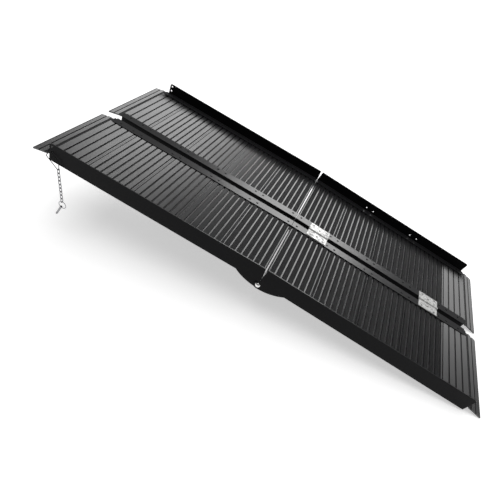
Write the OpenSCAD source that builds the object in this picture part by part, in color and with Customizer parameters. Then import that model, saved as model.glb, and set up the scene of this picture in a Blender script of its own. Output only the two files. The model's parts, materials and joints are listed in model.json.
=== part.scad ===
// Portable wheelchair ramp that folds in four.
// Two half-width tracks lie side by side and are joined by two butt hinges.
// Each track is two panels that fold underneath each other about low pivot bolts.
// Left and right are as seen by someone walking up the ramp, so left is -Y.
// The ramp stands in use: its lower lips rest on Z = 0 and its upper end is at -X.
// A panel is drawn in its own frame: +X from the folding joint to the panel's end,
// +Y from the middle of the ramp to the outer side, Z = 0 on the rails' top flanges.

/* [Ramp] */
// Width over both outer rails
ramp_w = 787; // [700:1:950]
// Length of each panel's rails, from the folding joint to their ends
rail_l = 844; // [700:1:1015]
// Clear gap between the left and right tracks
centre_gap = 27; // [25:0.5:34]
// Slope at which the ramp stands, in degrees
slope = 10; // [6:0.5:14]
// Bend of the opened ramp at its folding joint, middle upwards, in degrees
camber = 2.5; // [1:0.1:3.5]

/* [Rails] */
// Wall thickness of all rails
rail_t = 3; // [2:0.1:4]
// Height of the outer curb above the top flange
curb_h = 45; // [25:1:60]
// Depth of a rail below its top flange's upper face
rail_d = 25.5; // [22:0.5:32]
// Width of a rail's flanges, over the web
flange_w = 35; // [32:0.5:42]
// Width taken off a curb's end at its top edge, at the folding joint
curb_end_slant = 3.5; // [1:0.1:8]
// Corner radius at the curb's other end
curb_corner_r = 8; // [3:0.5:14]
// Distance of a rivet line from its rail's web face
rivet_inset = 20.7; // [18:0.1:22]

/* [Deck planks] */
// Length of deck that the end plank covers inside the rails
end_plank_l = 110; // [90:1:130]
// Distance from the folding joint to the first plank
joint_setback = 1.5; // [1:0.5:6]
// Gap between neighbouring planks
plank_gap = 0.8; // [0.4:0.1:2]
// Wall thickness of the planks
plank_t = 1.6; // [1.2:0.1:2.4]
// Width of a groove between two ribs, at the top
groove_w = 7.4; // [5:0.1:9]
// Depth of a groove
groove_d = 2.8; // [2.5:0.1:5]
// Part of a plank's pitch that is the wide groove over its joint
joint_land = 11.2; // [8:0.1:14]
// Width of the raised bead along each plank's edge
bead_w = 3; // [2:0.1:4]
// Height of that bead above the groove's floor
bead_h = 1.6; // [1:0.1:2.5]
// Width of the foot of a plank's leg
foot_w = 12; // [8:0.5:16]

/* [Lips] */
// Length of a lip beyond its bend
lip_l = 60; // [40:1:80]
// Droop of a lip below the deck, in degrees
lip_droop = 13; // [5:0.5:16]
// Distance from the rails' ends to a lip's bend
bend_gap = 11; // [8:0.5:16]
// Thickness of a lip's plate under its ribs
lip_t = 3; // [2:0.1:4]
// Height of a lip's ribs
lip_rib_h = 2.5; // [1:0.1:3]
// Width by which a lip is trimmed beside the centre gap
lip_trim = 5; // [0:0.5:12]
// Radius of the locking pin hole in an upper lip
lip_hole_r = 5; // [4.5:0.1:6.5]
// Distance of the locking pin hole from the outer edge of the lip
lip_hole_inset = 20; // [15:0.5:30]
// Distance of the locking pin hole from the bend, along the lip
lip_hole_out = 20; // [18:0.5:24]

/* [Folding pivots] */
// Distance of the pivot bolts below the rails' undersides
pivot_below = 17.5; // [15:0.5:21]
// Length of a lug plate along its rail
lug_l = 100; // [70:1:130]
// Thickness of a lug plate
lug_t = 3; // [2:0.1:4]
// Radius of a pivot bolt's shank
bolt_r = 5; // [4:0.5:6]
// Radius of a pivot bolt's domed head
bolt_head_r = 10; // [8:0.5:11]
// Height of that head
bolt_head_h = 6; // [3:0.5:7]

/* [Butt hinges] */
// Length of a butt hinge
hinge_l = 90; // [60:1:95]
// Width of a butt hinge laid open
hinge_open_w = 88; // [76:1:92]
// Thickness of a hinge leaf
leaf_t = 2.5; // [1.5:0.1:3]
// Radius of the hinge barrel
barrel_r = 4; // [3.5:0.1:5]
// Radius of the hinge pin
hinge_pin_r = 1.75; // [1.2:0.05:2.2]
// Distance of the first hinge's middle from the folding joint
hinge_1_at = 113; // [90:1:118]
// Distance of the second hinge's middle from the lower end of the rails
hinge_2_at = 184; // [178:1:194]

/* [Holes in the curbs] */
// Radius of the handle holes in the right lower curb
handle_hole_r = 3; // [2:0.1:4]
// Height of the handle holes above the top flange
handle_hole_z = 12.5; // [8:0.5:20]
// Distance between the two holes of one handle end
handle_hole_pitch = 38; // [25:1:50]
// Distance between the two handle ends
handle_reach = 253; // [200:1:300]
// Distance of the holes at the curb's upper end from that end
end_hole_inset = 10; // [8:0.5:14]
// Radius of those holes
end_hole_r = 4; // [3:0.1:5]
// Height of the lower of those holes above the top flange
end_hole_z = 13; // [10:0.5:16]
// Distance between the lower and the upper of those holes
end_hole_pitch = 21; // [14:0.5:24]

/* [Locking pin and chain] */
// Wire radius of the chain
link_wire_r = 1.5; // [1:0.1:1.8]
// Distance of the hanger's low end from the rail's end
hanger_inset = 43; // [30:1:60]
// Drop of the hanger's low end below the rail
hanger_drop = 14.5; // [12:0.5:18]
// Inner length of one chain link
link_l = 16; // [12:0.5:18]
// Outer width of one chain link
link_w = 12; // [10:0.5:13]
// Number of chain links
link_count = 9; // [5:2:9]
// Wire radius of the hanger and the pin ring
ring_wire_r = 1.25; // [0.8:0.05:1.4]
// Outer radius of the pin ring
ring_r = 16; // [12:0.5:18]
// Radius of the locking pin
lock_pin_r = 4; // [3:0.1:4.5]
// Length of the locking pin
lock_pin_l = 55; // [30:1:60]
// Lean of the locking pin on its ring, in degrees
lock_pin_lean = 30; // [0:1:45]

/* [Hidden] */

black = "#1d1e20";
deck_black = "#2b2c2e";
bright = "#c9cccf";

$fn = 48;
eps = 0.01;

// Clearances
running = 0.05;         // a shaft in a bore that turns on it
rivet_fit = 0.1;        // a fastener in the hole of the piece it holds
plank_end_fit = 0.5;    // between a plank's end and a rail's web
plate_fit = 0.4;        // between the two lug plates of a pivot
nut_fit = 0.3;          // between a lug plate that turns and the washer beside it
knuckle_fit = 0.3;      // between neighbouring hinge knuckles
leaf_fit = 0.5;         // between a hinge leaf and the other leaf's knuckles
stop_fit = 0.3;         // between the rails' end faces of an open ramp
link_fit = 0.3;         // between neighbouring chain links
chain_fit = 1.5;        // between the chain and the outer rail's face
lug_fit = 1;            // between a lug plate's round end and its rail's underside

// Fixed proportions
plank_count = 4;
ribs_per_plank = 7;
ribs_per_end_plank = 4;
ribs_per_lip = 2;
groove_slant = 1.2;     // how far a rib's flank leans
rivet_r = 2.4;
rivet_head_r = 4.6;
rivet_head_h = 1.8;
rivet_tail_r = 3.6;
rivet_tail_h = 2;
screw_r = 2;
screw_head_r = 4.2;
screw_head_h = 0.9;
washer_t = 1.5;
nut_t = 8;
nut_flats = 17;
bolt_tail = 2;          // thread beyond the nut
knuckles = 5;
hinge_cap_h = 1.5;
lip_nose = 2;           // chamfer along the lip's tip
lip_land = 13;          // flat strip between the bend and a lip's first rib

// Derived sizes
half_w = ramp_w / 2;
half_gap = centre_gap / 2;
crest_z = -rail_t;
groove_z = crest_z - groove_d;
seat_z = rail_t - rail_d;
pivot_drop = rail_d + pivot_below;
lug_r = pivot_below - lug_fit;
deck_start = joint_setback;
deck_end = rail_l - end_plank_l;
plank_pitch = (deck_end - deck_start) / plank_count;
rib_pitch = (plank_pitch - joint_land) / ribs_per_plank;
crest_w = rib_pitch - groove_w;
edge_margin = (joint_land + groove_w) / 2;
bend_x = rail_l + bend_gap;
end_rib_pitch = (bend_x - deck_end - edge_margin + groove_w - 1) / ribs_per_end_plank;
end_crest_w = end_rib_pitch - groove_w;
lip_rib_pitch = (lip_l - lip_land) / ribs_per_lip;
plank_y0 = half_gap + rail_t + plank_end_fit;
plank_y1 = half_w - rail_t - plank_end_fit;
end_face_x = stop_fit / 2 - pivot_below * sin(camber / 2);
lug_z = -rail_d;
lug_bottom = -pivot_drop - lug_r;
lug_drop = lug_z - lug_bottom;
lug_arc_r = (lug_l * lug_l + lug_drop * lug_drop) / (2 * lug_drop);
upper_plate_y = lug_t + plate_fit;
washer_y = upper_plate_y + lug_t + nut_fit;
nut_y = washer_y + washer_t;
bolt_l = nut_y + nut_t + bolt_tail;
knuckle_l = hinge_l / knuckles;
hinge_z = barrel_r;
hinge_at = [hinge_1_at, rail_l - hinge_2_at];
handle_hole_x = [for (e = [-0.5, 0.5], h = [-0.5, 0.5])
    rail_l / 2 + e * handle_reach + h * handle_hole_pitch];
end_hole_x = rail_l - end_hole_inset;

// The ramp's placing: the lower lips' tips on Z = 0, and the whole model centred on X and Y
lower_tilt = slope + camber / 2;
upper_tilt = slope - camber / 2;
lip_h = lip_t + lip_rib_h;
tip_x = bend_x + lip_l * cos(lip_droop);
tip_z = crest_z - lip_l * sin(lip_droop);
tip_low_x = tip_x - lip_h * sin(lip_droop);
tip_low_z = tip_z - lip_h * cos(lip_droop);
nose_x = tip_x - lip_nose * sin(lip_droop);
nose_z = tip_z - lip_nose * cos(lip_droop);
pivot_z = tip_low_x * sin(lower_tilt) - (tip_low_z + pivot_drop) * cos(lower_tilt);
function reach(x, z, tilt, end) = end * x * cos(tilt) + (z + pivot_drop) * sin(tilt);
x_max = max(reach(nose_x, nose_z, lower_tilt, 1), reach(tip_low_x, tip_low_z, lower_tilt, 1));
x_min = min(reach(nose_x, nose_z, upper_tilt, -1), reach(tip_low_x, tip_low_z, upper_tilt, -1));
pivot_x = -(x_max + x_min) / 2;
chain_y = chain_fit + link_w / 2;
mid_y = (chain_y + link_w / 2 - bolt_head_h) / 2;

// Chain geometry, in the row frame: the chain hangs plumb from the hanger's low end
link_half = (link_l + 2 * link_wire_r) / 2;
link_step = link_l - link_fit;
link_bend_r = link_w / 2 - link_wire_r;
hanger_half = link_wire_r + ring_wire_r + 1;
hanger_x = rail_l - hanger_inset;
hanger_z = -rail_d - hanger_drop;
bar_z = hanger_z + ring_wire_r + link_wire_r + link_fit;
chain_x = pivot_x + reach(hanger_x, bar_z, upper_tilt, -1);
chain_z = pivot_z + hanger_x * sin(upper_tilt) + (bar_z + pivot_drop) * cos(upper_tilt);
ring_c = ring_r - ring_wire_r;
ring_x = chain_x;
ring_z = chain_z - (link_count - 1) * link_step - 2 * link_half
    + ring_wire_r + link_wire_r + link_fit - ring_c;

// ---- Helpers ----

// Draws its children mirrored along v, or as they are
module flip(v, mirrored) {
    if (mirrored)
        mirror(v) children();
    else
        children();
}

// Puts a panel's pieces where that panel lies: side is "left" or "right", end "lower" or "upper"
module place(side, end) {
    translate([pivot_x, mid_y, pivot_z])
        rotate([0, end == "lower" ? lower_tilt : upper_tilt, 0])
            translate([0, 0, pivot_drop])
                flip([1, 0, 0], end == "upper")
                    flip([0, 1, 0], side == "left")
                        children();
}

// Frames whose Y runs inwards from the web face of the outer or the inner rail
module at_outer() {
    translate([0, half_w, 0]) mirror([0, 1, 0]) children();
}

module at_inner() {
    translate([0, half_gap, 0]) children();
}

// A plate of an outline drawn in X and Z, from y to y + t
module upright(y, t) {
    translate([0, y + t, 0])
        rotate([90, 0, 0])
            linear_extrude(height = t) children();
}

// A round bar along Y, from y to y + l
module bar_y(x, y, z, r, l) {
    translate([x, y, z]) rotate([-90, 0, 0]) cylinder(r = r, h = l);
}

// A round wire from a to b, with a slightly larger ball at its start
module wire(a, b, r) {
    v = b - a;
    l = norm(v);
    translate(a) sphere(r = r + 0.1);
    translate(a)
        rotate([0, acos(v[2] / l), atan2(v[1], v[0])])
            cylinder(r = r, h = l);
}

// ---- Rivets ----

function plank_rivets_x(k) = let (m = deck_start + (k + 0.5) * plank_pitch, h = (ribs_per_plank - 1) / 2)
    [m - h * rib_pitch, m + h * rib_pitch];
end_rib_x = [for (k = [0 : ribs_per_end_plank - 1])
    deck_end + edge_margin + end_crest_w / 2 + k * end_rib_pitch];
end_rivets_x = [end_rib_x[0], end_rib_x[2]];
rivets_x = concat([for (k = [0 : plank_count - 1]) each plank_rivets_x(k)], end_rivets_x);

module rivet_holes(xs) {
    for (x = xs)
        translate([x, rivet_inset, crest_z - plank_t - eps])
            cylinder(r = rivet_r + rivet_fit, h = rail_t + plank_t + 2 * eps);
}

module rivet() {
    tail_z = crest_z - plank_t - rivet_tail_h;
    ball_r = (rivet_head_r * rivet_head_r + rivet_head_h * rivet_head_h) / (2 * rivet_head_h);
    translate([0, 0, tail_z]) cylinder(r = rivet_tail_r, h = rivet_tail_h);
    translate([0, 0, tail_z]) cylinder(r = rivet_r, h = -tail_z + eps);
    intersection() {
        translate([0, 0, rivet_head_h - ball_r]) sphere(r = ball_r);
        cylinder(r = rivet_head_r + 1, h = rivet_head_h + 1);
    }
}

module rivets() {
    color(bright)
        for (x = rivets_x) {
            at_outer() translate([x, rivet_inset, 0]) rivet();
            at_inner() translate([x, rivet_inset, 0]) rivet();
        }
}

// ---- Rails ----

module flanges() {
    l = rail_l - end_face_x;
    translate([end_face_x, 0, -rail_t]) cube([l, flange_w, rail_t]);
    translate([end_face_x, 0, -rail_d]) cube([l, flange_w, rail_t]);
}

// The outer web's outline: slanted end at the joint, round corner at the other end
module curb_outline() {
    difference() {
        polygon([
            [end_face_x, -rail_d], [rail_l, -rail_d], [rail_l, curb_h],
            [end_face_x + curb_end_slant, curb_h], [end_face_x, 0]
        ]);
        translate([rail_l - curb_corner_r, curb_h - curb_corner_r])
            difference() {
                square(curb_corner_r + 1);
                circle(r = curb_corner_r);
            }
    }
}

module outer_rail(side, end) {
    color(black)
        at_outer()
            difference() {
                union() {
                    upright(0, rail_t) curb_outline();
                    flanges();
                }
                rivet_holes(rivets_x);
                if (end == "upper")
                    for (z = [end_hole_z, end_hole_z + end_hole_pitch])
                        bar_y(end_hole_x, -1, z, end_hole_r, rail_t + 2);
                if (end == "lower" && side == "right")
                    for (x = handle_hole_x)
                        bar_y(x, -1, handle_hole_z, handle_hole_r, rail_t + 2);
            }
}

module inner_rail(end) {
    color(black)
        at_inner()
            difference() {
                union() {
                    translate([end_face_x, 0, -rail_d]) cube([rail_l - end_face_x, rail_t, rail_d]);
                    flanges();
                }
                rivet_holes(rivets_x);
                if (end == "lower")
                    screw_places() cylinder(r = screw_r + rivet_fit, h = 4 * rail_t, center = true);
            }
}

// ---- Deck planks: hollow ribs on a floor, standing on legs, drawn in X and Z ----

module rib(x, w, z, h) {
    translate([x, z])
        polygon([
            [-w / 2 - groove_slant, 0], [w / 2 + groove_slant, 0], [w / 2, h], [-w / 2, h]
        ]);
}

module rib_hollow(x, w, t) {
    translate([x - w / 2 + t, groove_z - t - eps]) square([w - 2 * t, groove_d + eps]);
}

module leg(x) {
    translate([x - plank_t / 2, seat_z]) square([plank_t, groove_z - seat_z - eps]);
    translate([x - foot_w / 2, seat_z]) square([foot_w, plank_t]);
}

module edge_leg(x, inwards) {
    translate([inwards > 0 ? x : x - plank_t, seat_z]) square([plank_t, groove_z - seat_z - eps]);
    translate([inwards > 0 ? x : x - foot_w, seat_z]) square([foot_w, plank_t]);
    translate([inwards > 0 ? x : x - bead_w, groove_z - eps]) square([bead_w, bead_h + eps]);
}

module plank_outline() {
    x0 = plank_gap / 2;
    x1 = plank_pitch - plank_gap / 2;
    xs = [for (k = [0 : ribs_per_plank - 1]) edge_margin + crest_w / 2 + k * rib_pitch];
    difference() {
        union() {
            translate([x0, groove_z - plank_t]) square([x1 - x0, plank_t]);
            for (x = xs)
                rib(x, crest_w, groove_z - eps, groove_d + eps);
        }
        for (x = xs)
            rib_hollow(x, crest_w, plank_t);
    }
    edge_leg(x0, 1);
    edge_leg(x1, -1);
    leg(xs[1] + rib_pitch / 2);
    leg(xs[4] + rib_pitch / 2);
}

module plank(k) {
    color(deck_black)
        difference() {
            translate([deck_start + (k - 1) * plank_pitch, 0, 0])
                upright(plank_y0, plank_y1 - plank_y0) plank_outline();
            at_outer() rivet_holes(plank_rivets_x(k - 1));
            at_inner() rivet_holes(plank_rivets_x(k - 1));
        }
}

module end_plank_outline() {
    x0 = deck_end + plank_gap / 2;
    difference() {
        union() {
            translate([x0, groove_z - plank_t]) square([bend_x - x0, plank_t]);
            for (x = end_rib_x)
                rib(x, end_crest_w, groove_z - eps, groove_d + eps);
        }
        for (x = end_rib_x)
            rib_hollow(x, end_crest_w, plank_t);
    }
    edge_leg(x0, 1);
    leg(end_rib_x[0] + end_rib_pitch / 2);
    leg(end_rib_x[2] + end_rib_pitch / 2);
}

// A lip, drawn from its bend and turned down by its droop
module lip_outline() {
    first = lip_land + (lip_rib_pitch - groove_w) / 2;
    translate([bend_x, crest_z])
        rotate(-lip_droop) {
            difference() {
                union() {
                    translate([0, -lip_h]) square([lip_l, lip_t]);
                    for (k = [0 : ribs_per_lip - 1])
                        rib(first + k * lip_rib_pitch, lip_rib_pitch - groove_w,
                            -lip_rib_h - eps, lip_rib_h + eps);
                    translate([lip_l - groove_w, -lip_h]) square([groove_w, lip_h - eps]);
                }
                translate([lip_l - lip_nose, 0])
                    polygon([[0, 1], [lip_nose + 1, 1], [lip_nose + 1, -lip_nose - 1]]);
            }
        }
    translate([bend_x - plank_t, groove_z - plank_t])
        square([plank_t + 1, groove_d - lip_rib_h + plank_t]);
}

module end_plank(end) {
    color(deck_black)
        difference() {
            union() {
                upright(plank_y0, plank_y1 - plank_y0) end_plank_outline();
                upright(plank_y0 + lip_trim, plank_y1 - plank_y0 - lip_trim) lip_outline();
            }
            at_outer() rivet_holes(end_rivets_x);
            at_inner() rivet_holes(end_rivets_x);
            if (end == "upper")
                lip_hole();
        }
}

module lip_hole() {
    translate([bend_x, plank_y1 - lip_hole_inset, crest_z])
        rotate([0, lip_droop, 0])
            translate([lip_hole_out, 0, -2 * lip_h])
                cylinder(r = lip_hole_r, h = 4 * lip_h);
}

// ---- Folding pivots: lug plates welded under the rails, on bolts ----

module lug_outline() {
    difference() {
        union() {
            intersection() {
                translate([0, lug_bottom + lug_arc_r]) circle(r = lug_arc_r, $fn = 180);
                translate([0, lug_bottom]) square([lug_l, lug_drop]);
            }
            translate([0, -pivot_drop]) circle(r = lug_r);
        }
        translate([0, -pivot_drop]) circle(r = bolt_r + running);
    }
}

module lug_plates(end) {
    y = end == "lower" ? 0 : upper_plate_y;
    color(black) {
        at_outer() upright(y, lug_t) lug_outline();
        at_inner() upright(y, lug_t) lug_outline();
    }
}

module pivot_bolt() {
    ball_r = (bolt_head_r * bolt_head_r + bolt_head_h * bolt_head_h) / (2 * bolt_head_h);
    bar_y(0, -eps, -pivot_drop, bolt_r, bolt_l + eps);
    intersection() {
        translate([0, ball_r - bolt_head_h, -pivot_drop]) sphere(r = ball_r);
        bar_y(0, -bolt_head_h - 1, -pivot_drop, bolt_head_r + 1, bolt_head_h + 1);
    }
}

module pivot_bolts() {
    color(bright) {
        at_outer() pivot_bolt();
        at_inner() pivot_bolt();
    }
}

module pivot_ring(y, t, r, sides) {
    difference() {
        translate([0, y, -pivot_drop]) rotate([-90, 0, 0]) cylinder(r = r, h = t, $fn = sides);
        bar_y(0, y - 1, -pivot_drop, bolt_r + running, t + 2);
    }
}

module pivot_washers() {
    color(bright) {
        at_outer() pivot_ring(washer_y, washer_t, bolt_head_r, 48);
        at_inner() pivot_ring(washer_y, washer_t, bolt_head_r, 48);
    }
}

module pivot_nuts() {
    corner_r = nut_flats / 2 / cos(30);
    color(bright) {
        at_outer() pivot_ring(nut_y, nut_t, corner_r, 6);
        at_inner() pivot_ring(nut_y, nut_t, corner_r, 6);
    }
}

// ---- Butt hinges between the lower panels, lying on the inner rails ----

screw_y = [hinge_open_w / 2 - 9, hinge_open_w / 2 - 22, hinge_open_w / 2 - 9];

// Children at each screw of both hinges, in a panel's inner frame
module screw_places() {
    for (h = hinge_at, k = [0 : 2])
        translate([h + (k - 1) * hinge_l / 3, screw_y[k] - half_gap, 0]) children();
}

// Knuckles of one leaf: first is 0 or 1
module leaf(at, first) {
    color(bright)
        difference() {
            union() {
                translate([at - hinge_l / 2, barrel_r + leaf_fit, 0])
                    cube([hinge_l, hinge_open_w / 2 - barrel_r - leaf_fit, leaf_t]);
                for (k = [first : 2 : knuckles - 1])
                    translate([at - hinge_l / 2 + k * knuckle_l + knuckle_fit / 2, 0, 0]) {
                        cube([knuckle_l - knuckle_fit, barrel_r + leaf_fit + eps, leaf_t]);
                        translate([0, 0, hinge_z])
                            rotate([0, 90, 0]) cylinder(r = barrel_r, h = knuckle_l - knuckle_fit);
                    }
            }
            translate([at - hinge_l, 0, hinge_z])
                rotate([0, 90, 0]) cylinder(r = hinge_pin_r + running, h = 2 * hinge_l);
            at_inner() screw_places() cylinder(r = screw_r + rivet_fit, h = 3 * leaf_t, center = true);
        }
}

module hinge_pin(at) {
    color(bright)
        translate([at - hinge_l / 2 - hinge_cap_h, 0, hinge_z])
            rotate([0, 90, 0]) {
                cylinder(r = hinge_pin_r, h = hinge_l + 2 * hinge_cap_h);
                cylinder(r = barrel_r - 1, h = hinge_cap_h);
                translate([0, 0, hinge_l + hinge_cap_h]) cylinder(r = barrel_r - 1, h = hinge_cap_h);
            }
}

module hinge_screws() {
    color(bright)
        at_inner()
            screw_places() {
                translate([0, 0, -rail_t]) cylinder(r = screw_r, h = rail_t + leaf_t + eps);
                translate([0, 0, leaf_t])
                    cylinder(r1 = screw_head_r, r2 = screw_head_r - 0.7, h = screw_head_h);
            }
}

// ---- Locking pin on its chain, at the left track's upper end ----

// A closed wire loop through the lower end hole and round the rail's end
hanger_low = [
    [hanger_x - hanger_half, -chain_y, hanger_z],
    [hanger_x + hanger_half, -chain_y, hanger_z]
];
hanger_points = [
    hanger_low[0],
    hanger_low[1],
    [rail_l + 5, -chain_y, -8],
    [rail_l + 5, rail_t + 3, end_hole_z],
    [end_hole_x, rail_t + 3, end_hole_z],
    [end_hole_x, -3, end_hole_z],
    [hanger_x, -chain_y, -4]
];

module chain_hanger() {
    n = len(hanger_points);
    color(black)
        at_outer()
            for (k = [0 : n - 1])
                wire(hanger_points[k], hanger_points[(k + 1) % n], ring_wire_r);
}

// One chain link in the plane of X and Z, hanging from the middle of its upper bar
module link() {
    straight = link_half - link_bend_r;
    translate([0, 0, -link_half]) {
        for (s = [-1, 1])
            translate([s * link_bend_r, 0, -straight])
                cylinder(r = link_wire_r, h = 2 * straight);
        for (a = [0, 180])
            rotate([0, a, 0])
                translate([0, 0, straight])
                    rotate([90, 0, 0])
                        rotate_extrude(angle = 180)
                            translate([link_bend_r, 0]) circle(r = link_wire_r, $fn = 32);
    }
}

module chain_links() {
    color(bright)
        for (k = [0 : link_count - 1])
            translate([chain_x, mid_y - half_w - chain_y, chain_z - k * link_step])
                rotate([0, 0, k % 2 == 0 ? 90 : 0]) link();
}

module pin_ring() {
    color(bright)
        translate([ring_x, mid_y - half_w - chain_y, ring_z])
            rotate([90, 0, 0])
                rotate_extrude() translate([ring_c, 0]) circle(r = ring_wire_r, $fn = 32);
}

module locking_pin() {
    hole_r = ring_wire_r + 1;
    head = lock_pin_r + 1;
    color(bright)
        translate([ring_x, mid_y - half_w - chain_y, ring_z])
            rotate([0, lock_pin_lean, 0])
                difference() {
                    translate([0, 0, -ring_c + head - lock_pin_l]) {
                        translate([0, 0, 2]) cylinder(r = lock_pin_r, h = lock_pin_l - 3);
                        cylinder(r1 = lock_pin_r - 1.5, r2 = lock_pin_r, h = 2);
                        translate([0, 0, lock_pin_l - 1])
                            cylinder(r1 = lock_pin_r, r2 = lock_pin_r - 1, h = 1);
                    }
                    translate([0, 0, -ring_c])
                        rotate([0, 90, 0]) cylinder(r = hole_r, h = 4 * lock_pin_r, center = true);
                }
}

// ---- The pieces ----

module panel_node(side, end, piece) {
    place(side, end) children();
}

for (side = ["left", "right"], end = ["lower", "upper"]) {
    panel_node(side, end, "outer_rail") outer_rail(side, end);
    panel_node(side, end, "inner_rail") inner_rail(end);
    panel_node(side, end, "end_plank") end_plank(end);
    panel_node(side, end, "rivets") rivets();
    panel_node(side, end, "lug_plates") lug_plates(end);
    for (k = [1 : plank_count])
        panel_node(side, end, str("plank_", k)) plank(k);
}

for (side = ["left", "right"]) {
    place(side, "lower") pivot_bolts();
    place(side, "lower") pivot_washers();
    place(side, "lower") pivot_nuts();
    place(side, "lower") hinge_screws();
    for (h = [1, 2])
        place(side, "lower") leaf(hinge_at[h - 1], side == "left" ? 0 : 1);
}

for (h = [1, 2])
    place("right", "lower") hinge_pin(hinge_at[h - 1]);

place("left", "upper") chain_hanger();
chain_links();
pin_ring();
locking_pin();
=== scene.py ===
# %% [markdown]
# # A folding wheelchair ramp in black-coated aluminium
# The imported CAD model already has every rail, plank, rivet and hinge in its true place, with
# real joints. This lesson dresses it for a portrait. It sets a camera and soft studio light,
# cuts the fine tread teeth that the planks have, adds the small fittings that are too fine for
# the CAD model, and gives each surface a procedural finish.

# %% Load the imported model
import json
import math

import bmesh
import bpy
from mathutils import Matrix, Vector


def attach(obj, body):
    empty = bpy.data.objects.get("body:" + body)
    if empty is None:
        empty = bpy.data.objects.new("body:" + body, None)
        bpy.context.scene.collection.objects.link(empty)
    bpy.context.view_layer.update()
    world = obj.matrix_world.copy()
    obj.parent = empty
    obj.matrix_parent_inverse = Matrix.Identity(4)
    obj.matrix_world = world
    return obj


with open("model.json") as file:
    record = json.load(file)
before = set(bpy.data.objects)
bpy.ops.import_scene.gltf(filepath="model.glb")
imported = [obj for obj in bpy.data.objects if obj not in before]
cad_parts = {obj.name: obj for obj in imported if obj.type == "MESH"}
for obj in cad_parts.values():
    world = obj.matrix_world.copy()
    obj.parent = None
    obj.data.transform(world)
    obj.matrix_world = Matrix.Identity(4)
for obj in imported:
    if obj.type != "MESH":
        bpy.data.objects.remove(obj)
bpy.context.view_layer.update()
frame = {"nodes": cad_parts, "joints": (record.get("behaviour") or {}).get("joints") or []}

MM = 0.001
NODES = frame["nodes"]

# %% [markdown]
# ## Where each panel lies
# The ramp is four panels. Each was drawn in its own plain frame, with X from the folding joint
# outwards, Y from the middle of the ramp outwards, and Z = 0 on the rails' top flanges. New
# detail is easiest to model in that frame and then to carry to its place with one matrix.
# The pivot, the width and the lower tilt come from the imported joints. The camber and the bolts'
# depth are design sizes, so they are named here.

# %% Panel frames from the joints
joints = {j["name"]: j for j in frame["joints"]}
left_pivot = Vector(joints["left_fold"]["pos_m"])
right_pivot = Vector(joints["right_fold"]["pos_m"])
pivot = (left_pivot + right_pivot) / 2
book_axis = Vector(joints["centre_fold"]["axis"])

CAMBER = math.radians(2.5)     # the bend of the opened ramp at its folding joint
LOWER_TILT = math.atan2(book_axis.z, -book_axis.x)
UPPER_TILT = LOWER_TILT - CAMBER
SLOPE = LOWER_TILT - CAMBER / 2
PIVOT_DROP = 43 * MM           # the bolts' depth below the top flanges
HALF_W = (right_pivot.y - left_pivot.y) / 2
PANELS = [(side, end) for side in ("left", "right") for end in ("lower", "upper")]


def panel_matrix(side, end):
    """Panel frame to the model's frame. An upper panel is mirrored in X and a left one in Y."""
    tilt = LOWER_TILT if end == "lower" else UPPER_TILT
    mirror = Matrix.Diagonal((1 if end == "lower" else -1, 1 if side == "right" else -1, 1, 1))
    turn = Matrix.Rotation(tilt, 4, "Y")
    return Matrix.Translation(pivot) @ turn @ Matrix.Translation((0, 0, PIVOT_DROP)) @ mirror


print("slope", round(math.degrees(SLOPE), 3), "half width", round(HALF_W, 4))

# %% [markdown]
# ## The camera
# A product portrait is taken from above and to one side, with a short lens close to a long
# object, so the near corner looms and the far end runs away. The camera is placed in the deck's
# own frame and turned with the slope. It is rolled a little, which is what makes the ramp run
# steeply down across the frame. The small lens shift moves the frame without a new viewpoint.

# %% Camera
SENSOR = 36.0
FOCAL = 28.75
LENS_SHIFT = -0.04
NEAREST = 0.05                 # nothing nearer than this is drawn
STEP = 0.182                   # the unit in which the camera's place was worked out
CAM_AT = Vector((-0.246, -7.48, 5.322)) * STEP
CAM_AIM = Vector((0.013, 0.7544, -0.6562))
CAM_RIGHT = Vector((0.8547, 0.3322, 0.3988))
to_row = Matrix.Rotation(SLOPE, 3, "Y")


def deck_point(v):
    """A point given in the deck's own frame, whose origin is above the folding pivot."""
    return pivot + to_row @ (Vector(v) + Vector((0, 0, PIVOT_DROP)))


aim = (to_row @ CAM_AIM).normalized()
right = to_row @ CAM_RIGHT
right = (right - right.dot(aim) * aim).normalized()
up = right.cross(aim)
camera_data = bpy.data.cameras.new("camera")
camera_data.sensor_width = SENSOR
camera_data.lens = FOCAL
camera_data.shift_x = LENS_SHIFT
camera_data.clip_start = NEAREST
camera = bpy.data.objects.new("camera", camera_data)
bpy.context.scene.collection.objects.link(camera)
turn = Matrix((right, up, -aim)).transposed()
camera.matrix_world = Matrix.Translation(deck_point(CAM_AT)) @ turn.to_4x4()
bpy.context.scene.camera = camera
print("camera at", [round(c, 3) for c in camera.location], "lens", round(FOCAL, 2))

# %% [markdown]
# ## Floor and light
# Black gloss shows mostly what it mirrors, so the light is placed by reflection. One wide
# softbox stands behind the ramp, exactly where the deck's flat strips mirror it into the lens at
# mid-length. The strips then glow in the middle and die away to both ends, while the slanted
# teeth catch the same box only near the ends. A wide soft sun straight above lights the pale
# floor evenly, and the black sides hardly see it.

# %% Floor, softbox and sky
FLOOR_HALF = 60                # half the side of the floor, in metres
FLOOR_DROP = 0.0005            # keeps the floor just clear of the lips
FLOOR_WHITE = (0.9, 0.9, 0.9, 1)
FLOOR_GLOW = 0.5
BOX_AWAY = 5.0                 # softbox to the middle of the deck, in metres
BOX_WIDE, BOX_HIGH = 2.6, 2.4
BOX_WATTS = 85
SUN_STRENGTH = 1.5
SUN_SOFTNESS = math.radians(60)
SKY_STRENGTH = 0.2
WHITE = (1, 1, 1, 1)


def new_object(name, mesh):
    thing = bpy.data.objects.new(name, mesh)
    bpy.context.scene.collection.objects.link(thing)
    return thing


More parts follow.
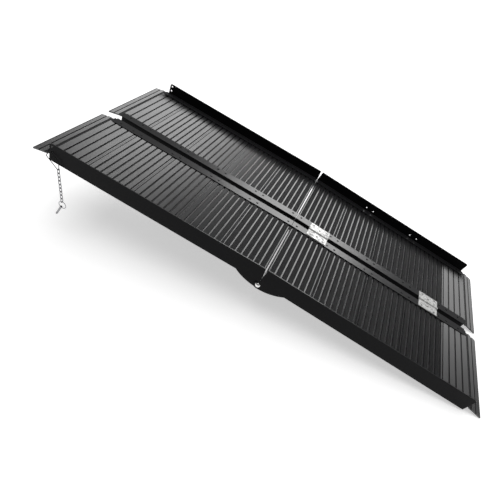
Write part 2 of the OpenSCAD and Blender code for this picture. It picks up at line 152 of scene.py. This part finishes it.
def plain_plane(name, size):
    mesh = bpy.data.meshes.new(name)
    bm = bmesh.new()
    bmesh.ops.create_grid(bm, x_segments=1, y_segments=1, size=size)
    bm.to_mesh(mesh)
    bm.free()
    return new_object(name, mesh)


floor = plain_plane("studio_floor", FLOOR_HALF)
floor.location.z = -FLOOR_DROP
floor_paint = bpy.data.materials.new("studio_floor")
floor_paint.use_nodes = True
floor_shader = floor_paint.node_tree.nodes["Principled BSDF"]
floor_shader.inputs["Base Color"].default_value = FLOOR_WHITE
floor_shader.inputs["Roughness"].default_value = 0.9
floor_shader.inputs["Specular IOR Level"].default_value = 0.1
floor_shader.inputs["Emission Color"].default_value = WHITE
floor_shader.inputs["Emission Strength"].default_value = FLOOR_GLOW
floor.data.materials.append(floor_paint)


def softbox(name, at, target, width, height, power):
    """A flat rectangular light at one point, facing another."""
    data = bpy.data.lights.new(name, "AREA")
    data.shape = "RECTANGLE"
    data.size = width
    data.size_y = height
    data.energy = power
    facing = (target - at).to_track_quat("-Z", "Y").to_matrix().to_4x4()
    new_object(name, data).matrix_world = Matrix.Translation(at) @ facing


mid_deck = deck_point((0, 0, 0))
sight = (deck_point(CAM_AT) - mid_deck).normalized()
deck_up = to_row @ Vector((0, 0, 1))
mirror_way = 2 * sight.dot(deck_up) * deck_up - sight
softbox("softbox_behind", mid_deck + BOX_AWAY * mirror_way, mid_deck,
        BOX_WIDE, BOX_HIGH, BOX_WATTS)
daylight = bpy.data.lights.new("daylight", "SUN")
daylight.energy = SUN_STRENGTH
daylight.angle = SUN_SOFTNESS
new_object("daylight", daylight).location.z = 5

world = bpy.data.worlds.new("studio")
bpy.context.scene.world = world
world.use_nodes = True
sky = world.node_tree.nodes["Background"]
sky.inputs["Color"].default_value = WHITE
sky.inputs["Strength"].default_value = SKY_STRENGTH
bpy.context.scene.view_settings.view_transform = "Standard"
print("softbox towards", [round(c, 3) for c in mirror_way])

# %% [markdown]
# ## Helpers for finishes
# Every finish is built from a few shared effects. Each effect is a node group that puts out only
# a colour, a roughness or a height, and the shader stays in the material, where its plain
# numbers are set on its own sockets.

# %% Node helpers
def node_group(name, inputs, outputs):
    """A shader group with its sockets; returns the group, its input and its output node."""
    group = bpy.data.node_groups.new(name, "ShaderNodeTree")
    for label, kind, value in inputs:
        socket = group.interface.new_socket(label, in_out="INPUT", socket_type=kind)
        if value is not None:
            socket.default_value = value
    for label, kind in outputs:
        group.interface.new_socket(label, in_out="OUTPUT", socket_type=kind)
    return group, group.nodes.new("NodeGroupInput"), group.nodes.new("NodeGroupOutput")


def add(tree, kind, links=(), **settings):
    """A node with its settings, and its inputs linked or set by name or number."""
    node = tree.nodes.new(kind)
    for key, value in settings.items():
        setattr(node, key, value)
    for key, value in links:
        if isinstance(value, bpy.types.NodeSocket):
            tree.links.new(value, node.inputs[key])
        else:
            node.inputs[key].default_value = value
    return node


def noise(tree, where, scale, detail=2.0, rough=0.5):
    return add(tree, "ShaderNodeTexNoise", [
        ("Vector", where), ("Scale", scale), ("Detail", detail), ("Roughness", rough)])


def spread_over(tree, value, low, high, to_low, to_high):
    """A value moved from one range to another, and kept in it."""
    return add(tree, "ShaderNodeMapRange", [
        ("Value", value), ("From Min", low), ("From Max", high),
        ("To Min", to_low), ("To Max", to_high)])


FLOAT, COLOUR, VECTOR = "NodeSocketFloat", "NodeSocketColor", "NodeSocketVector"
print("helpers ready")

# %% [markdown]
# ## Powder coat
# Powder coat is a baked plastic skin. Close up it has orange peel, a fine waviness of about a
# millimetre. Handling leaves it slightly cloudy, and a little dust settles in it. One group
# makes all three from noise at three scales.

# %% Powder coat group
coat, coat_in, coat_out = node_group(
    "powder_coat",
    [("Where", VECTOR, None), ("Base", COLOUR, (0.012, 0.012, 0.013, 1)),
     ("Dust", COLOUR, (0.09, 0.09, 0.088, 1)), ("Dust Amount", FLOAT, 0.25),
     ("Shine", FLOAT, 0.32), ("Cloud", FLOAT, 0.12)],
    [("Color", COLOUR), ("Roughness", FLOAT), ("Height", FLOAT)])
cloud = noise(coat, coat_in.outputs["Where"], 7.0, 4.0, 0.55)
speck = noise(coat, coat_in.outputs["Where"], 160.0, 3.0, 0.6)
peel = noise(coat, coat_in.outputs["Where"], 950.0, 1.0, 0.4)
dusty = spread_over(coat, speck.outputs["Fac"], 0.52, 0.75, 0.0, 1.0)
patchy = spread_over(coat, cloud.outputs["Fac"], 0.4, 0.65, 0.0, 1.0)
both = add(coat, "ShaderNodeMath", [(0, dusty.outputs[0]), (1, patchy.outputs[0])],
           operation="MULTIPLY")
share = add(coat, "ShaderNodeMath", [(0, both.outputs[0]), (1, coat_in.outputs["Dust Amount"])],
            operation="MULTIPLY")
tint = add(coat, "ShaderNodeMix", [
    ("Factor", share.outputs[0]), (6, coat_in.outputs["Base"]), (7, coat_in.outputs["Dust"])],
    data_type="RGBA")
shift = add(coat, "ShaderNodeMath", [(0, cloud.outputs["Fac"]), (1, -0.5)], operation="ADD")
amount = add(coat, "ShaderNodeMath", [(0, shift.outputs[0]), (1, coat_in.outputs["Cloud"])],
             operation="MULTIPLY")
shine = add(coat, "ShaderNodeMath", [(0, amount.outputs[0]), (1, coat_in.outputs["Shine"])],
            operation="ADD")
coat.links.new(tint.outputs[2], coat_out.inputs["Color"])
coat.links.new(shine.outputs[0], coat_out.inputs["Roughness"])
coat.links.new(peel.outputs["Fac"], coat_out.inputs["Height"])
print("powder coat:", len(coat.nodes), "nodes")

# %% [markdown]
# ## Plated steel
# The hinges are zinc-plated pressings, and the bolts, chain and pin are polished and plated.
# Rolled plate keeps fine lines along its length, and zinc dulls in patches. The second group
# stretches one noise into lines and adds a cloud of tarnish.

# %% Plated steel group
plate, plate_in, plate_out = node_group(
    "plated_steel",
    [("Where", VECTOR, None), ("Bright", COLOUR, (0.8, 0.8, 0.79, 1)),
     ("Dull", COLOUR, (0.45, 0.45, 0.46, 1)), ("Shine", FLOAT, 0.25),
     ("Tarnish", FLOAT, 0.4)],
    [("Color", COLOUR), ("Roughness", FLOAT), ("Height", FLOAT)])
along = add(plate, "ShaderNodeMapping", [
    ("Vector", plate_in.outputs["Where"]), ("Scale", (60.0, 1400.0, 1400.0))])
lines = noise(plate, along.outputs[0], 1.0, 2.0, 0.5)
stain = noise(plate, plate_in.outputs["Where"], 90.0, 4.0, 0.6)
stained = spread_over(plate, stain.outputs["Fac"], 0.4, 0.7, 0.0, 1.0)
how_much = add(plate, "ShaderNodeMath", [(0, stained.outputs[0]), (1, plate_in.outputs["Tarnish"])],
               operation="MULTIPLY")
metal = add(plate, "ShaderNodeMix", [
    ("Factor", how_much.outputs[0]), (6, plate_in.outputs["Bright"]), (7, plate_in.outputs["Dull"])],
    data_type="RGBA")
rougher = add(plate, "ShaderNodeMath", [(0, how_much.outputs[0]), (1, 0.3)], operation="MULTIPLY")
gloss = add(plate, "ShaderNodeMath", [(0, rougher.outputs[0]), (1, plate_in.outputs["Shine"])],
            operation="ADD")
plate.links.new(metal.outputs[2], plate_out.inputs["Color"])
plate.links.new(gloss.outputs[0], plate_out.inputs["Roughness"])
plate.links.new(lines.outputs["Fac"], plate_out.inputs["Height"])
print("plated steel:", len(plate.nodes), "nodes")

# %% [markdown]
# ## Finishes
# Each finish is one shared effect with its own settings. A rail has two finishes, chosen by the way
# each face points: its upward faces are smoother, and its upright faces get a darker base and almost
# no gloss, which is painted shade.

# %% Finishes
BUMP_DEPTH = 0.0002            # metres of relief at full bump
UPWARD = 0.7                   # how far a rail's face must point up the deck's normal


def finish_of(name, effect, values, metallic, bump, specular=0.5):
    """A material whose colour, roughness and bump come from one shared effect."""
    paint = bpy.data.materials.new(name)
    paint.use_nodes = True
    tree = paint.node_tree
    shader = tree.nodes["Principled BSDF"]
    shader.inputs["Metallic"].default_value = metallic
    shader.inputs["Specular IOR Level"].default_value = specular
    where = add(tree, "ShaderNodeTexCoord")
    group = add(tree, "ShaderNodeGroup", node_tree=effect)
    tree.links.new(where.outputs["Object"], group.inputs["Where"])
    for key, value in values.items():
        group.inputs[key].default_value = value
    relief = add(tree, "ShaderNodeBump", [("Height", group.outputs["Height"]),
                                          ("Strength", bump), ("Distance", BUMP_DEPTH)])
    tree.links.new(group.outputs["Color"], shader.inputs["Base Color"])
    tree.links.new(group.outputs["Roughness"], shader.inputs["Roughness"])
    tree.links.new(relief.outputs["Normal"], shader.inputs["Normal"])
    return paint


FINISHES = {
    # The darker, almost unglossy black of the rails' upright faces, the lug plates and the hanger is
    # painted shade.
    "black_painted_shade": finish_of("black_painted_shade", coat, {
        "Base": (0.0045, 0.0045, 0.005, 1), "Shine": 0.42, "Dust Amount": 0.03}, 0, 0.25, 0.06),
    "rail_black": finish_of("rail_black", coat, {
        "Base": (0.011, 0.011, 0.012, 1), "Shine": 0.3, "Dust Amount": 0.08}, 0, 0.25, 0.9),
    "deck_black": finish_of("deck_black", coat, {
        "Base": (0.011, 0.011, 0.012, 1), "Shine": 0.26, "Dust Amount": 0.1}, 0, 0.2, 0.9),
    "tread_black": finish_of("tread_black", coat, {
        "Base": (0.014, 0.014, 0.015, 1), "Shine": 0.3, "Dust Amount": 0.15}, 0, 0.2, 0.9),
    "tread_worn": finish_of("tread_worn", coat, {
        "Base": (0.012, 0.012, 0.013, 1), "Shine": 0.3, "Dust Amount": 0.1}, 0, 0.2, 0.55),
    # Rivet heads get a darker base and less gloss than the coat elsewhere. This is painted shade for
    # the dark dots that their glossy domes show.
    "rivet_black_painted_shade": finish_of("rivet_black_painted_shade", coat, {
        "Base": (0.006, 0.006, 0.0065, 1), "Shine": 0.25, "Dust Amount": 0.0, "Cloud": 0.04},
        0, 0.05, 0.1),
    "mandrel": finish_of("mandrel", plate, {
        "Bright": (0.1, 0.1, 0.1, 1), "Dull": (0.04, 0.04, 0.04, 1),
        "Shine": 0.4, "Tarnish": 0.5}, 1, 0.1),
    "hinge_zinc": finish_of("hinge_zinc", plate, {
        "Bright": (0.85, 0.85, 0.84, 1), "Dull": (0.25, 0.25, 0.25, 1),
        "Shine": 0.52, "Tarnish": 0.8}, 1, 0.6),
    "screw_dull": finish_of("screw_dull", plate, {
        "Bright": (0.3, 0.3, 0.3, 1), "Dull": (0.1, 0.1, 0.1, 1),
        "Shine": 0.4, "Tarnish": 0.6}, 1, 0.2),
    "bolt_polish": finish_of("bolt_polish", plate, {"Shine": 0.15, "Tarnish": 0.2}, 1, 0.1),
    "chain_plate": finish_of("chain_plate", plate, {
        "Bright": (0.36, 0.36, 0.37, 1), "Dull": (0.12, 0.12, 0.13, 1),
        "Shine": 0.16, "Tarnish": 0.6}, 1, 0.2),
}


def finishes_for(name):
    """A node's finishes. A rail's first is painted shade for its upright faces, and its second is for
    its upward faces.
    """
    if "rail" in name:
        return ["black_painted_shade", "rail_black"]
    return [finish_for(name)]


def finish_for(name):
    # Lug plates and the hanger take the painted shade finish too.
    if "lug_plates" in name or name == "chain_hanger":
        return "black_painted_shade"
    if "plank" in name:
        return "deck_black"
    # Rivets take the darker coat, which is painted shade.
    if "rivets" in name:
        return "rivet_black_painted_shade"
    if "screw" in name:
        return "screw_dull"
    if "hinge" in name:
        return "hinge_zinc"
    if "pivot" in name:
        return "bolt_polish"
    return "chain_plate"


for name, node in NODES.items():
    node.data.materials.clear()
    for finish in finishes_for(name):
        node.data.materials.append(FINISHES[finish])
    # Upright rail faces get the painted shade finish, and upward faces the glossier rail finish.
    if "rail" in name:
        for face in node.data.polygons:
            face.material_index = 1 if face.normal.dot(deck_up) > UPWARD else 0
print("finishes:", len(FINISHES))

# %% [markdown]
# ## Tread teeth
# Each rib's crest is finely toothed along the ramp's width, so a wheel can't slip. The teeth
# make the broad bands look matt beside the smooth strips between them. A strip of
# teeth is a grid whose every second row of points is lifted, then given a base. The slant of
# the teeth decides which way they mirror the light, so it is modelled and not painted. They are
# saw teeth. All full planks point the same way along the ramp, and each end plank is turned so
# that its long slopes face up the deck.

# %% Tread strips
RAIL_L = 844 * MM
CREST_Z = -3 * MM
FLANGE = 35 * MM               # width of deck that a rail's top flange covers
HALF_GAP = 13.5 * MM
DECK_START = 1.5 * MM
DECK_END = RAIL_L - 110 * MM
PLANKS = 4
PLANK_PITCH = (DECK_END - DECK_START) / PLANKS
JOINT_LAND = 11.2 * MM
GROOVE_W = 7.4 * MM
RIBS = 7
RIB_PITCH = (PLANK_PITCH - JOINT_LAND) / RIBS
EDGE = (JOINT_LAND + GROOVE_W) / 2
BEND_X = RAIL_L + 11 * MM
END_RIBS = 4
END_MARGIN = 1 * MM            # from the last rib to the bend
END_PITCH = (BEND_X - DECK_END - EDGE + GROOVE_W - END_MARGIN) / END_RIBS
LIP_L = 60 * MM
LIP_DROOP = math.radians(13)
LIP_RIBS = 2
LIP_LAND = 13 * MM             # smooth band between a lip's bend and its first rib
LIP_PITCH = (LIP_L - LIP_LAND) / LIP_RIBS
LIP_TRIM = 5 * MM              # a lip is this much narrower beside the centre gap
LIP_EDGE = 3.5 * MM            # from a panel's side to the end of its planks
TOOTH = 1.7 * MM
LONG_SIDE = 0.88               # the long slope's share of a saw tooth
TOOTH_SLANT = math.radians(30)
LIP_SLANT = math.radians(41)
VALLEY = 0.02 * MM             # height of a tooth's foot over the crest
BASE = 0.25 * MM               # depth that a strip reaches into the crest
GROOVE_D = 2.8 * MM
SEAM = 0.5 * MM                # just over half the gap between two planks
LAND_STRIP = 4.4 * MM          # the toothed strip beside that gap
LAND_H = 1.7 * MM              # that strip's height over the groove's floor
Y_IN = HALF_GAP + FLANGE
Y_OUT = HALF_W - FLANGE


def tooth_strip(bm, x0, x1, y0, y1, place, facing, depth=BASE, slant=TOOTH_SLANT):
    """One strip of saw teeth from x0 to x1, closed by a base. Their long slopes face along facing."""
    teeth = max(2, round((x1 - x0) / TOOTH))
    pitch = (x1 - x0) / teeth
    top = bmesh.ops.create_grid(bm, x_segments=2 * teeth, y_segments=1, size=0.5)["verts"]
    for v in top:
        step = round((v.co.x + 0.5) * 2 * teeth)
        peak = step % 2
        along = step // 2 + (peak * (1 - LONG_SIDE) if facing > 0 else peak * LONG_SIDE)
        v.co = Vector((x0 + along * pitch, y0 if v.co.y < 0 else y1,
                       LONG_SIDE * pitch * math.tan(slant) if peak else VALLEY))
    faces = list({f for v in top for f in v.link_faces})
    made = bmesh.ops.extrude_face_region(bm, geom=faces)["geom"]
    base = [v for v in made if isinstance(v, bmesh.types.BMVert)]
    for v in base:
        v.co.z = -depth
    bmesh.ops.transform(bm, matrix=place, verts=top + base)


def finish_piece(name, bm, matrix, body, finish, smooth=False):
    """Carries a mesh to its place, turns its faces out and makes it a riding piece."""
    bmesh.ops.transform(bm, matrix=matrix, verts=bm.verts)
    bmesh.ops.recalc_face_normals(bm, faces=bm.faces)
    mesh = bpy.data.meshes.new(name)
    bm.to_mesh(mesh)
    bm.free()
    if smooth:
        mesh.shade_smooth()
    piece = new_object(name, mesh)
    piece.data.materials.append(FINISHES[finish])
    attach(piece, body)


def crests(first, pitch, count):
    """Start and end of each crest along a row of ribs."""
    return [(first + k * pitch, first + (k + 1) * pitch - GROOVE_W) for k in range(count)]


lip_place = Matrix.Translation((BEND_X, 0, CREST_Z)) @ Matrix.Rotation(LIP_DROOP, 4, "Y")
deck_place = Matrix.Translation((0, 0, CREST_Z))
land_place = Matrix.Translation((0, 0, CREST_Z - GROOVE_D + LAND_H))
strips = 0
for side, end in PANELS:
    panel = f"{side}_{end}"
    to_panel = panel_matrix(side, end)
    rows = [(f"plank_{k + 1}", crests(DECK_START + k * PLANK_PITCH + EDGE, RIB_PITCH, RIBS))
            for k in range(PLANKS)]
    rows.append(("end_plank", crests(DECK_END + EDGE, END_PITCH, END_RIBS)))
    for plank, spans in rows:
        facing = 1 if end == "lower" and plank != "end_plank" else -1
        bm = bmesh.new()
        for x0, x1 in spans:
            tooth_strip(bm, x0, x1, Y_IN, Y_OUT, deck_place, facing)
        start = spans[0][0] - EDGE
        lands = [(start + SEAM, start + SEAM + LAND_STRIP)]
        if plank != "end_plank":
            lands.append((start + PLANK_PITCH - SEAM - LAND_STRIP, start + PLANK_PITCH - SEAM))
        for x0, x1 in lands:
            tooth_strip(bm, x0, x1, Y_IN, Y_OUT, land_place, facing, depth=LAND_H)
        if plank == "end_plank":
            for x0, x1 in crests(LIP_LAND, LIP_PITCH, LIP_RIBS):
                tooth_strip(bm, x0, x1, HALF_GAP + LIP_EDGE + LIP_TRIM, HALF_W - LIP_EDGE,
                            lip_place, facing, slant=LIP_SLANT)
        strips += len(spans)
        tread = "tread_worn" if end == "lower" and plank == "end_plank" else "tread_black"
        finish_piece(f"{panel}_{plank}_teeth", bm, to_panel, panel, tread)
print("tooth strips:", strips)

# %% [markdown]
# ## Rivet mandrels
# A blind rivet is set by pulling a steel mandrel until it snaps, and its broken end shows as a
# small dull dot in the middle of the head. It is a turned plug, so it is made from a cone with
# its rim bevelled, and repeated at every rivet of a panel as one piece.

# %% Rivet mandrels
RIVET_INSET = 20.7 * MM
RIVET_H = 1.8 * MM
MANDREL_FOOT = 1.8 * MM
MANDREL_TIP = 1.6 * MM
MANDREL_H = 0.9 * MM
MANDREL_BEVEL = 0.3 * MM
half_span = (RIBS - 1) / 2 * RIB_PITCH
rivet_x = []
for k in range(PLANKS):
    middle = DECK_START + (k + 0.5) * PLANK_PITCH
    rivet_x += [middle - half_span, middle + half_span]
first_end = DECK_END + EDGE + (END_PITCH - GROOVE_W) / 2
rivet_x += [first_end, first_end + 2 * END_PITCH]
rivet_y = [HALF_GAP + RIVET_INSET, HALF_W - RIVET_INSET]

for side, end in PANELS:
    bm = bmesh.new()
    for x in rivet_x:
        for y in rivet_y:
            made = bmesh.ops.create_cone(
                bm, cap_ends=True, segments=14, radius1=MANDREL_FOOT, radius2=MANDREL_TIP,
                depth=MANDREL_H)["verts"]
            rim = [e for v in made for e in v.link_edges
                   if v.co.z > 0 and all(w.co.z > 0 for w in e.verts)]
            made = bmesh.ops.bevel(bm, geom=list(set(rim)), offset=MANDREL_BEVEL, segments=2,
                                   profile=0.5, affect="EDGES", material=-1)["verts"] + made
            alive = list({v for v in made if v.is_valid})
            bmesh.ops.translate(bm, vec=(x, y, RIVET_H), verts=alive)
    panel = f"{side}_{end}"
    finish_piece(f"{panel}_mandrels", bm, panel_matrix(side, end), panel, "mandrel")
print("mandrels:", len(PANELS) * len(rivet_x) * len(rivet_y))

# %% [markdown]
# ## Weld beads
# The lug plates are welded under the rails. A weld bead is a row of overlapping puddles, so each
# one is a small squashed sphere, longer than the step to the next, laid along the seam.

# %% Weld beads
RAIL_D = 25.5 * MM
LUG_T = 3 * MM
PLATE_FIT = 0.4 * MM
WELD_STEP = 3.2 * MM
WELD_START = 22 * MM           # clear of the other panel's lug plates when folded
WELD_COUNT = 22
PUDDLE = (2.2 * MM, 1.4 * MM, 1.2 * MM)    # half length, half width and half height

for side, end in PANELS:
    bm = bmesh.new()
    inner_face = LUG_T if end == "lower" else 2 * LUG_T + PLATE_FIT
    seams = [HALF_W - inner_face, HALF_GAP + inner_face]
    for y in seams:
        for k in range(WELD_COUNT):
            puddle = bmesh.ops.create_uvsphere(bm, u_segments=10, v_segments=6, radius=1)["verts"]
            shape = (Matrix.Translation((WELD_START + k * WELD_STEP, y, -RAIL_D))
                     @ Matrix.Diagonal((*PUDDLE, 1)))
            bmesh.ops.transform(bm, matrix=shape, verts=puddle)
    panel = f"{side}_{end}"
    finish_piece(f"{panel}_welds", bm, panel_matrix(side, end), panel,
                 "rail_black", smooth=True)
print("weld beads on", len(PANELS), "panels")
